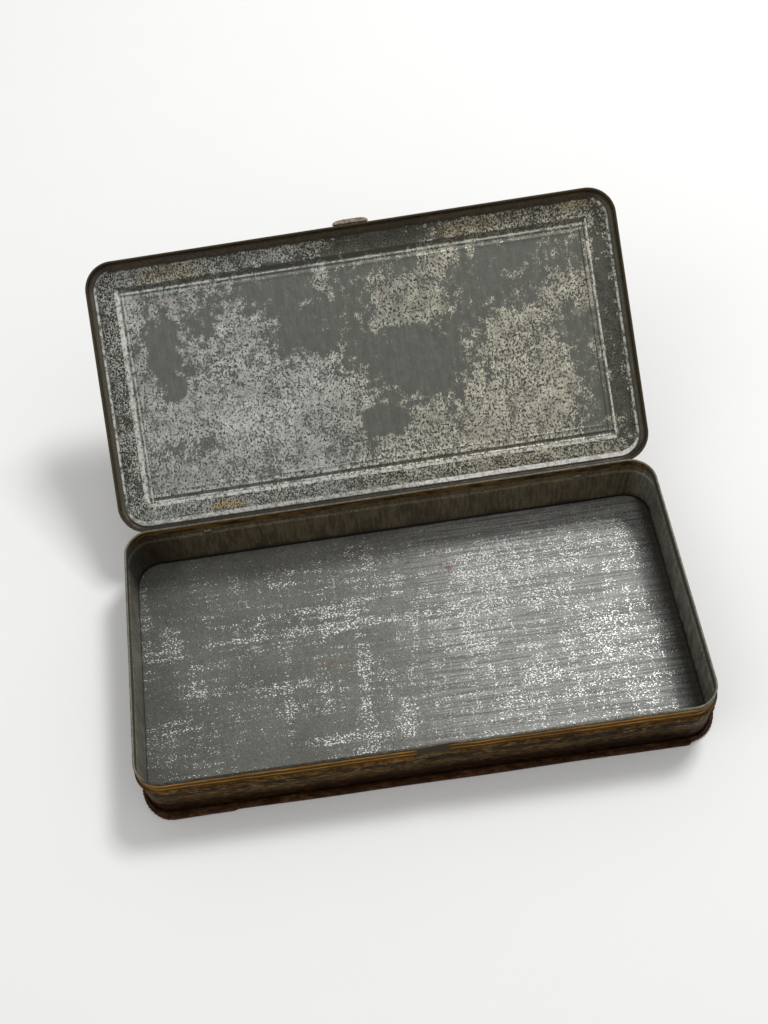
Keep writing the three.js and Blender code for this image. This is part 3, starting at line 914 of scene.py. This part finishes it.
def floor_inside(shader, specks, brushed, ragged, right):
    """The floor's bare tin, from the tarnish up to the rust."""
    clouds = shader.noise(22.0, 4.0, 0.6, offset=2.0)
    plain = shader.shade(TARNISH, clouds.step(0.3, 0.7, 0.85, 1.12))
    # Lighter to the right: a painted reflection of the key light.
    plain = shader.mix(right * 0.85, plain, tone(126, 126, 123))
    inside = shader.shade(plain, brushed)
    grain = shader.noise(0.55, 2.0, 0.7, stretch=(1.0, 0.7, 1.0), offset=30.0)
    inside = shader.shade(inside, grain.step(0.36, 0.64, 0.82, 1.18))
    # Brighter specks in the painted reflection to the right.
    inside = shader.mix(specks, inside, shader.mix(right, tone(236, 236, 228), tone(206, 206, 202)))
    pits = shader.noise(1.0, 2.0, 0.7, offset=12.0).step(0.65, 0.70, 0.0, 0.7)
    inside = shader.mix(pits, inside, BLACK_SPECK)
    inside = shader.mix(shader.spots(FLOOR_RUST, ragged) * 0.8, inside, RUST)
    return floor_painted_light_and_shade(shader, inside, ragged)


def plate_material():
    """The floor: grey tarnish with rubbed bright specks in rows, brushed, and lighter to the right with a
    painted reflection.
    """
    shader = Shader("floor_tinplate")
    ragged = shader.noise(5.0, 5.0, 0.7, offset=4.0).step(0.2, 0.8, -0.5, 0.5)
    # right: 1 where the painted reflection lightens the floor.
    right = (shader.x + ragged * 30.0).step(-50.0, 48.0)
    specks = floor_specks(shader, ragged, right)
    lines = shader.noise(0.6, 1.5, 0.6, stretch=(0.02, 1.0, 1.0), offset=8.0)
    brushed_area = (shader.x + ragged * 20.0).step(-12.0, 16.0)
    brushed = shader.blend(brushed_area, 1.0, lines.step(0.36, 0.64, 0.74, 1.34))
    inside = floor_inside(shader, specks, brushed, ragged, right)
    outside, fibres = lacquer(shader, tone(60, 38, 22), 0.1, 0.5, (0.3, 0.8, 0.8))
    color = shader.mix(shader.printed, inside, outside)
    metallic = shader.blend(shader.printed, 0.5, 0.0)
    roughness = shader.blend(shader.printed, shader.blend(specks, 0.55, 0.38), 0.6)
    relief = specks * 0.4 + lines * brushed_area * 0.6 + fibres * 0.5
    return shader.finish(color, metallic, roughness, relief, 0.03 * MM)


# Patches inside the lid: x, y (lid closed), half width, half height, strength.
LID_SMOOTH = [
    (-76.5, -14, 7, 16, -1.2), (-66, -9, 6, 9, -0.4), (-61, -24, 9, 6, -1.0), (-30, -33, 17, 10, -1.4),
    (-20, -18, 14, 12, -1.4), (-2, -22, 8, 19, -1.1), (14, -5, 22, 9, -1.2), (22, 7, 17, 11, -1.2),
    (41, -11, 9, 10, -1.0), (46, -25, 11, 10, -1.1), (56, -34, 12, 6, -0.8), (75, -31, 17, 9, -1.0),
    (81, -3, 8, 8, -1.0), (84, 22, 7, 20, -0.9), (4.5, 22, 10.5, 7, -1.2), (33, 23, 4, 12, -0.5),
    (-68, 24, 11, 5, -0.45), (-50, -33, 9, 6, -0.4), (22, -35, 6, 4, -0.4), (62, -14, 8, 4, -0.5),
    (58, -20, 14, 7, -0.9), (13, -35, 8, 4, -0.9), (88, -22, 8, 5, -0.5),
]
LID_PATCHES = [(-76.4, -14.3, 6, 12.5, 1.0), (-72.6, -1, 4, 5, 1.0), (-73.5, -23, 4.5, 4.5, 1.0),
               (4.5, 22.5, 9.2, 6.5, 1.0), (22, 2, 15, 12.5, 1.0), (85, -2, 8, 7, 0.7)]
LID_RUBBED = [
    (-13, -33, 3, 6, 1.3), (-19, -26, 5, 2, 1.1), (34, -34, 2.5, 6, 1.1), (20, -16, 12, 4, 0.8),
    (13, -30, 5, 6, 0.2), (60, -25, 5, 3, 0.8), (84, -16, 8, 5, 0.6), (-28, 0, 7, 1.2, 0.8),
    (90, -28, 2, 8, 0.6),
]
LID_LIGHT = [
    (-42, 17, 16, 9, 0.28), (-13, 4, 14, 9, 0.2), (52, 18, 22, 12, 0.12), (12, 36, 12, 4, 0.25),
    (-45, -8, 14, 10, 0.1), (-72, -36, 22, 5, -0.15), (-86, 0, 5, 26, -0.15), (-72, 34, 12, 8, -0.12),
    (-10, 33, 9, 6, -0.15), (20, -22, 14, 12, -0.22), (80, 38, 10, 5, -0.15),
]
LID_PINK = [(-74, -34, 3, 2.5, 0.3), (-85, -17, 2.5, 4, 0.15), (-57, -35, 4, 3, 0.12), (10, -24, 4, 4, 0.1)]
BORDER_GOLD = [
    (88, -47, 6, 1.2, 1.0), (-60, 46, 9, 1.5, 1.0), (45, -45, 11, 2.5, 0.4), (-68, -45, 12, 3, 0.4),
]
BORDER_PLAIN = [(12, -45, 24, 6, -0.9), (94, 2, 4, 42, -0.9)]

# Lines along the panel's stamped edge: side, millimetres in from the panel's foot, strength. The bright lines
# are worn crests and painted highlights on the slopes that face the key light; the dark lines are painted
# shade on the slopes that face away, and dark lines between the bright ones.
BRIGHT_LINES = [
    ("left", -1.0, 0.7, 0.8), ("left", 1.9, 2.2, 0.8), ("rear", -1.5, -0.3, 0.95),
    ("right", -0.4, 0.2, 0.9), ("front", 1.3, 1.8, 0.75), ("front", 3.0, 3.3, 0.45),
]
DARK_LINES = [
    ("left", 1.1, 1.5, 0.6), ("left", 2.6, 2.9, 0.4), ("rear", 0.6, 1.9, 0.85), ("right", 0.6, 1.1, 0.7),
    ("right", 2.3, 2.8, 0.6), ("front", -0.9, 0.9, 0.75), ("front", 2.0, 2.5, 0.5),
]


def panel_lines(shader, places):
    """Lines along the panel's stamped edge: worn crests, painted highlights and painted shade."""
    half_x = PANEL_X / MM
    half_y = PANEL_Y / MM
    along_x = shader.x.window(-half_x, half_x, 0.4)
    along_y = shader.y.window(-half_y, half_y, 0.4)
    sides = {
        "left": (shader.x + half_x, along_y),
        "right": (half_x - shader.x, along_y),
        "front": (shader.y + half_y, along_x),
        "rear": (half_y - shader.y, along_x),
    }
    strongest = 0.0
    for side, low, high, strength in places:
        inwards, along = sides[side]
        strongest = (inwards.window(low, high, 0.12) * along * strength).at_least(strongest)
    return strongest


def lid_noises(shader):
    """The noises that the lid's inside shares, from broad clouds to fine grain."""
    return SimpleNamespace(
        ragged=shader.noise(4.0, 5.0, 0.72, offset=4.0).step(0.2, 0.8, -0.6, 0.6),
        clouds=shader.noise(16.0, 4.0, 0.65, offset=1.0),
        mottle=shader.noise(3.4, 4.0, 0.7, stretch=(1.0, 0.7, 1.0), offset=11.0),
        fine=shader.noise(0.55, 2.0, 0.65, stretch=(1.0, 0.8, 1.0)),
        streaks=shader.noise(0.9, 3.0, 0.6, stretch=(1.0, 0.07, 1.0), offset=8.0),
    )


def lid_rubbed(shader, noises):
    """How rubbed the lid's inside is, from 0 on the smooth patches to 1 on the speckled tin."""
    smooth = shader.spots(LID_SMOOTH, noises.ragged * 0.8, soft=(0.5, 1.5))
    field = (smooth + shader.spots(LID_RUBBED, noises.ragged)) * 0.62
    field += shader.spots(BORDER_PLAIN, noises.ragged) + 0.24
    field += noises.clouds.step(0.3, 0.7, -0.2, 0.2) + noises.mottle.step(0.3, 0.7, -0.35, 0.35)
    field += noises.fine.step(0.34, 0.66, -0.24, 0.24)
    patches = shader.spots(LID_PATCHES, noises.ragged * 0.35, soft=(0.9, 1.12))
    return field.step(-0.3, 0.28) * (1.0 - patches.at_most(1.0))


def lid_speckled(shader, noises):
    """Rubbed tin: bright grains and black pits on a light ground, warmer to the right, dulled in places."""
    warm = (shader.x + noises.ragged * 30.0).step(-30.0, 40.0)
    light = shader.mix(warm, tone(170, 172, 166), tone(177, 174, 156))
    lightness = shader.spots(LID_LIGHT, noises.ragged) + 1.0 + noises.mottle.step(0.3, 0.7, -0.28, 0.28)
    lit = shader.shade(light, lightness * noises.streaks.step(0.3, 0.7, 0.9, 1.1))
    speckled = shader.shade(lit, noises.fine.step(0.38, 0.62, 0.66, shader.blend(warm, 1.24, 1.32)))
    grit = shader.noise(0.5, 1.5, 0.6, offset=40.0).step(0.58, 0.66, 0.0, 0.6)
    speckled = shader.mix(grit, speckled, BRIGHT_TIN)
    dulled = shader.noise(9.0, 4.0, 0.65, offset=27.0).step(0.4, 0.64, 0.0, 0.6)
    speckled = shader.mix(dulled, speckled, shader.shade(lit, 0.8))
    pits = shader.noise(0.8, 1.5, 0.6, stretch=(1.0, 0.75, 1.0), offset=15.0)
    pits += noises.clouds.step(0.3, 0.7, 0.03, -0.03) + warm * 0.015
    return shader.mix(pits.step(0.555, 0.595, 0.0, 0.9), speckled, BLACK_SPECK)


def lid_plain(shader, noises, border):
    """Smooth grey tarnish, browner on the border."""
    plain = shader.shade(tone(106, 106, 99), noises.streaks.step(0.3, 0.7, 0.9, 1.08))
    plain = shader.shade(plain, noises.mottle.step(0.3, 0.7, 0.88, 1.1))
    plain = shader.shade(plain, noises.fine.step(0.35, 0.65, 0.93, 1.07))
    return shader.mix(border * 0.5, plain, tone(78, 74, 64))


def border_dirt(shader, noises, inside, border):
    """Adds dirt and gold specks to the border round the panel."""
    side_dirt = shader.noise(5.0, 5.0, 0.7, stretch=(0.5, 0.5, 1.0), offset=33.0)
    dirty = border * (shader.x.step(-94.0, -88.0, 0.3, 0.0) + side_dirt.step(0.35, 0.6, 0.2, 0.8))
    inside = shader.mix(dirty * noises.fine.step(0.47, 0.53, 1.0, 0.1), inside, GRIME_AND_SHADE)
    gold = border * shader.spots(BORDER_GOLD, noises.ragged) * noises.fine.step(0.48, 0.54)
    return shader.mix(gold, inside, GOLD_SPECK)


def bend_wear_and_highlight(shader, inset, rear, broken):
    """How bright the lid's bend is: worn bare tin and a painted highlight, most at the rear right, less at
    its two ends.
    """
    rear_right = shader.x.step(0.0, 40.0, 0.6, 1.6) * rear
    right_end = shader.x.step(92.0, 96.0)
    left_end = shader.x.step(-95.0, -92.0, 0.9, 0.0)
    worn = right_end.at_least(rear_right).at_least(left_end)
    bend = inset.window(2.3, shader.blend(rear, 3.2, 3.9), 0.2)
    return (bend * broken.at_least(rear * 0.4) * worn).at_most(1.0)


def lid_edges(shader, inside, broken):
    """Adds a dark brown band over the lid's edge, with a painted highlight in its middle and painted shadow
    along the rear, and the bright line along its bend.
    """
    inset = shader.inset(LID_PROUD)
    edge = inset + shader.noise(7.0, 4.0, 0.6, offset=61.0).step(0.3, 0.7, -0.35, 0.35)
    rear = shader.y.step(44.0, 48.0)
    browned = (edge + rear * 0.9).step(3.1, 3.7, 0.94, 0.0)
    beside = abs(shader.x).step(94.0, 98.0)
    brown = shader.mix(beside, tone(60, 52, 35), tone(80, 76, 63))
    # A painted highlight in the middle of the band.
    brown = shader.shade(brown, shader.blend(edge.window(1.4, 2.4, 0.5), 1.0, 1.35))
    # Painted shadow in the gap along the rear edge.
    brown = shader.mix(rear * 0.8, brown, tone(36, 28, 17))
    inside = shader.mix(browned, inside, brown)
    # The bend's bright line: worn bare tin with a painted highlight.
    inside = shader.mix(bend_wear_and_highlight(shader, inset, rear, broken), inside, tone(246, 247, 240))
    skirt = shader.z.step(LID_TOP / MM - 2.4, LID_TOP / MM - 1.6, 1.0, 0.0)
    return shader.mix(skirt, inside, tone(54, 46, 31))


def lid_inside(shader, noises, rubbed):
    """The lid's bare inside: speckled where rubbed, smooth elsewhere, with a dirty border and edges."""
    flat_z = (LID_TOP - SHEET) / MM
    border = shader.z.step(flat_z + 0.02, flat_z + 0.1, 1.0, 0.0)
    inside = shader.mix(rubbed, lid_plain(shader, noises, border), lid_speckled(shader, noises))
    pink = shader.spots(LID_PINK, noises.ragged * 1.5) * rubbed
    inside = shader.mix(pink, inside, tone(166, 132, 122))
    inside = border_dirt(shader, noises, inside, border)
    # Painted shade on the panel's slopes, in the colour of the black pits.
    inside = shader.mix(panel_lines(shader, DARK_LINES), inside, BLACK_SPECK)
    broken = shader.noise(2.0, 4.0, 0.8, offset=21.0).step(0.42, 0.54, 0.1, 1.0)
    # Worn crests and painted highlights along the panel's edge.
    inside = shader.mix(panel_lines(shader, BRIGHT_LINES) * broken, inside, BRIGHT_TIN)
    return lid_edges(shader, inside, broken)


def lid_outside(shader):
    """The lid's lacquer with one gold line near the edge, and a duller hem."""
    outside, fibres = lacquer(shader, UMBER, 0.2, 0.4, (0.55, 0.8, 0.8))
    gold_line = shader.inset(LID_PROUD).window(4.6, 5.4, 0.12)
    outside = shader.mix(gold_line * 0.7, outside, OCHRE)
    hem = shader.z.step(SKIRT_BOTTOM / MM + 0.5, SKIRT_BOTTOM / MM + 1.1, 0.8, 0.0)
    return shader.mix(hem, outside, tone(70, 64, 51)), fibres


def lid_material():
    """Rubbed and smooth tin inside, worn bright along the bends with a painted highlight, and lacquer
    outside.
    """
    shader = Shader("lid_tinplate")
    noises = lid_noises(shader)
    rubbed = lid_rubbed(shader, noises)
    inside = lid_inside(shader, noises, rubbed)
    outside, fibres = lid_outside(shader)
    color = shader.mix(shader.printed, inside, outside)
    metallic = shader.blend(shader.printed, 0.5, 0.0)
    roughness = shader.blend(shader.printed, shader.blend(rubbed, 0.55, 0.45), 0.55)
    relief = noises.fine * rubbed * 0.7 + noises.streaks * 0.3 + fibres * 0.5
    return shader.finish(color, metallic, roughness, relief, 0.03 * MM)


def plain_metal(name, color, dark, roughness):
    """Bare metal with dull blotches and fine scratches."""
    shader = Shader(name)
    blotches = shader.noise(1.2, 5.0, 0.7)
    scratches = shader.noise(0.25, 2.0, stretch=(0.1, 1.0, 1.0), offset=5.0)
    mixed = shader.mix(blotches.step(0.4, 0.65), color, dark)
    mixed = shader.shade(mixed, scratches.step(0.3, 0.7, 0.85, 1.15))
    rough = blotches.step(0.3, 0.7, roughness - 0.08, roughness + 0.12)
    return shader.finish(mixed, 0.85, rough, blotches + scratches, 0.02 * MM)


def hinge_material():
    return plain_metal("hinge_steel_dull", tone(140, 134, 122), tone(70, 52, 38), 0.42)


def tab_material():
    return plain_metal("tab_tinplate", tone(190, 176, 158), tone(120, 104, 88), 0.4)


# ---- Stage --------------------------------------------------------------------------------------

CAMERA_TARGET = Vector((-28.0 * MM, 58.1 * MM, RIM_Z))
CAMERA_DISTANCE = 521.3 * MM
CAMERA_AZIMUTH = 3.25  # degrees
CAMERA_ELEVATION = 56.83
CAMERA_ROLL = -11.21
CAMERA_LENS = 48.38
CAMERA_SHIFT = (0.0727, -0.0220)


def studio_floor():
    """A wide pale floor, its far edge out of sight."""
    half = 3.0
    steps = 12
    places = np.linspace(-half, half, steps + 1)
    points = [(x, y, 0.0) for y in places for x in places]
    row = steps + 1
    faces = [
        (a, a + 1, a + row + 1, a + row)
        for a in (line * row + column for line in range(steps) for column in range(steps))
    ]
    mesh = bpy.data.meshes.new("studio_floor")
    mesh.from_pydata(points, [], faces)
    place = mesh.attributes.new("place", "FLOAT_VECTOR", "POINT")
    place.data.foreach_set("vector", (np.array(points) / MM).ravel())
    shader = Shader("studio_floor_pale")
    grain = shader.noise(40.0, 3.0)
    color = shader.shade(tone(246, 246, 245), grain.step(0.3, 0.7, 0.995, 1.0))
    mesh.materials.append(shader.finish(color, 0.0, 0.9, grain, 0.0))
    floor = bpy.data.objects.new("studio_floor", mesh)
    bpy.context.scene.collection.objects.link(floor)


def area_light(name, place, target, size, power, color=(1.0, 1.0, 1.0)):
    data = bpy.data.lights.new(name, "AREA")
    data.shape = "RECTANGLE"
    data.size, data.size_y = size
    data.energy = power
    data.color = color
    light = bpy.data.objects.new(name, data)
    light.location = place
    light.rotation_euler = (Vector(target) - Vector(place)).to_track_quat("-Z", "Y").to_euler()
    bpy.context.scene.collection.objects.link(light)


def lights():
    """A broad key from the upper right behind the case, a weak fill, and a pale surrounding."""
    middle = (0.0, 0.03, 0.03)
    area_light("key", (0.50, 0.52, 1.10), middle, (0.32, 0.32), 9.0)
    area_light("fill", (-0.9, -0.3, 0.9), middle, (0.9, 0.9), 2.0)
    world = bpy.data.worlds.new("studio")
    world.use_nodes = True
    world.node_tree.nodes["Background"].inputs["Color"].default_value = (1.0, 1.0, 1.0, 1.0)
    world.node_tree.nodes["Background"].inputs["Strength"].default_value = 0.5
    bpy.context.scene.world = world
    bpy.context.scene.view_settings.view_transform = "Standard"


def camera():
    azimuth = math.radians(CAMERA_AZIMUTH)
    elevation = math.radians(CAMERA_ELEVATION)
    back = Vector((math.sin(azimuth) * math.cos(elevation), -math.cos(azimuth) * math.cos(elevation),
                   math.sin(elevation)))
    data = bpy.data.cameras.new("camera")
    data.lens = CAMERA_LENS
    data.shift_x, data.shift_y = CAMERA_SHIFT
    data.clip_start = 0.01
    made = bpy.data.objects.new("camera", data)
    turn = (-back).to_track_quat("-Z", "Y").to_matrix().to_4x4()
    roll = Matrix.Rotation(math.radians(CAMERA_ROLL), 4, "Z")
    made.matrix_world = Matrix.Translation(CAMERA_TARGET + back * CAMERA_DISTANCE) @ turn @ roll
    bpy.context.scene.collection.objects.link(made)
    bpy.context.scene.camera = made


base_wall()
bottom_plate()
hinge_steel = hinge_material()
for lug, lug_x in zip(LUGS, LUG_CENTRES_X):
    hinge_lug(lug, lug_x, hinge_steel)
lid()
hinge_wire(hinge_steel)
thumb_tab()
studio_floor()
lights()
camera()
